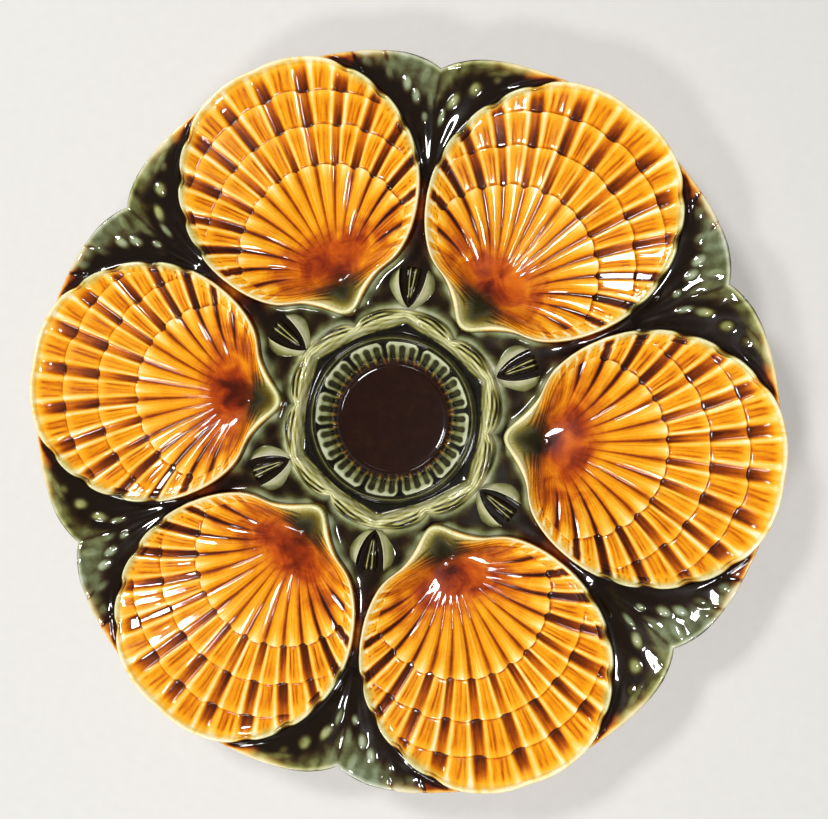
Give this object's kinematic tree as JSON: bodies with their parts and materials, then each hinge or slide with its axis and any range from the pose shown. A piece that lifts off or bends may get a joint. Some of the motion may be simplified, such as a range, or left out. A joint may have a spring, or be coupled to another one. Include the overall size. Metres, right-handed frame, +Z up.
{
  "type": "oyster plate",
  "caption": "Round glazed earthenware oyster plate with ribbed scallop-shell wells round a slotted sauce well, divided by seaweed rim panels, on a foot ring.",
  "frame": {"origin": "centre of the foot ring's resting face", "axes": "+Z up out of the plate's face, +X along the axis of well 1 towards the outer edge, +Y to the left of it seen from above"},
  "size_m": [0.2474, 0.2374, 0.022],
  "materials": {
    "shell_glaze": "amber majolica glaze, pale on the ribs and brown in the furrows, high gloss",
    "channel_glaze": "pooled dark brown majolica glaze, high gloss",
    "seaweed_glaze": "dark brown-black ground with celadon and olive relief, amber at the ends, high gloss",
    "leaf_glaze": "pale olive majolica glaze, darker in the grooves, high gloss",
    "bud_glaze": "olive majolica glaze with pale edges, high gloss",
    "sauce_well_glaze": "celadon slotted band over a dark brown floor, high gloss",
    "foot_glaze": "thin amber-brown glaze over cream earthenware, the resting face wiped bare"
  },
  "bodies": {
    "root": {"foot_ring": "foot_glaze", "sauce_well": "sauce_well_glaze", "leaf_wreath": "leaf_glaze", "shell_well_1": "shell_glaze", "shell_well_2": "shell_glaze", "shell_well_3": "shell_glaze", "shell_well_4": "shell_glaze", "shell_well_5": "shell_glaze", "shell_well_6": "shell_glaze", "channel_1": "channel_glaze", "channel_2": "channel_glaze", "channel_3": "channel_glaze", "channel_4": "channel_glaze", "channel_5": "channel_glaze", "channel_6": "channel_glaze", "seaweed_panel_1": "seaweed_glaze", "seaweed_panel_2": "seaweed_glaze", "seaweed_panel_3": "seaweed_glaze", "seaweed_panel_4": "seaweed_glaze", "seaweed_panel_5": "seaweed_glaze", "seaweed_panel_6": "seaweed_glaze", "bud_1": "bud_glaze", "bud_2": "bud_glaze", "bud_3": "bud_glaze", "bud_4": "bud_glaze", "bud_5": "bud_glaze", "bud_6": "bud_glaze"}
  },
  "joints": []
}
